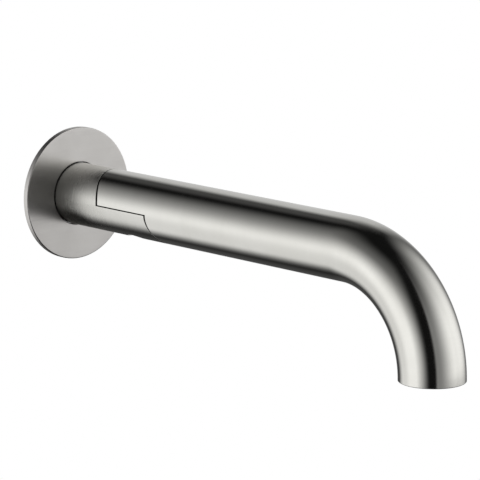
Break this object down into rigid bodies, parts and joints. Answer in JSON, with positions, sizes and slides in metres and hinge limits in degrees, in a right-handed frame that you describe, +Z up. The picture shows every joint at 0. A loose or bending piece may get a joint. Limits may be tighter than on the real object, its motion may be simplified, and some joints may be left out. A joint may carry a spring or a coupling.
{
  "type": "wall bath spout",
  "caption": "Round wall-mounted swivelling bath spout with a stepped half-lap pivot near the wall, a round cover plate and a down-turned outlet.",
  "frame": {"origin": "middle of the wall inlet: the tube's axis on the finished wall plane", "axes": "+Y into the wall along the inlet, so the spout reaches out along -Y; +Z up; +X completes the right-handed frame"},
  "size_m": [0.06, 0.2515, 0.0775],
  "materials": {
    "brushed_nickel": "fine-brushed warm nickel plate over brass",
    "plated_trim": "satin plate on the aerator ring",
    "brass": "turned brass",
    "stainless": "plain stainless steel",
    "rubber": "matt black rubber",
    "white_plastic": "natural white moulded plastic",
    "foam": "closed-cell foam gasket"
  },
  "bodies": {
    "base": {"base_body": "brushed_nickel", "inlet_nipple": "brass", "wall_seal_washer": "rubber", "base_grub_screw": "stainless", "nipple_o_ring_1": "rubber", "nipple_o_ring_2": "rubber"},
    "flange": {"wall_flange": "brushed_nickel", "flange_wall_gasket": "foam", "flange_grip_ring": "rubber"},
    "spout": {"spout_body": "brushed_nickel", "swivel_spigot": "brass", "lap_slip_washer": "white_plastic", "pivot_thrust_washer": "white_plastic", "pivot_screw": "brushed_nickel", "swivel_stop_pin": "stainless", "spigot_o_ring_lower": "rubber", "spigot_o_ring_middle": "rubber", "spigot_o_ring_upper": "rubber", "outlet_gasket": "rubber", "aerator_housing": "plated_trim", "aerator_cartridge": "white_plastic", "aerator_screen": "stainless", "flow_regulator": "white_plastic"}
  },
  "joints": [
    {"name": "spout_swivel", "type": "hinge", "parent": "base", "child": "spout", "pos_m": [0, -0.047, 0], "axis": [0, 0, 1], "range_deg": [-90, 90]},
    {"name": "flange_slide", "type": "slide", "parent": "base", "child": "flange", "axis": [0, -1, 0], "range_m": [0, 0.02]}
  ]
}
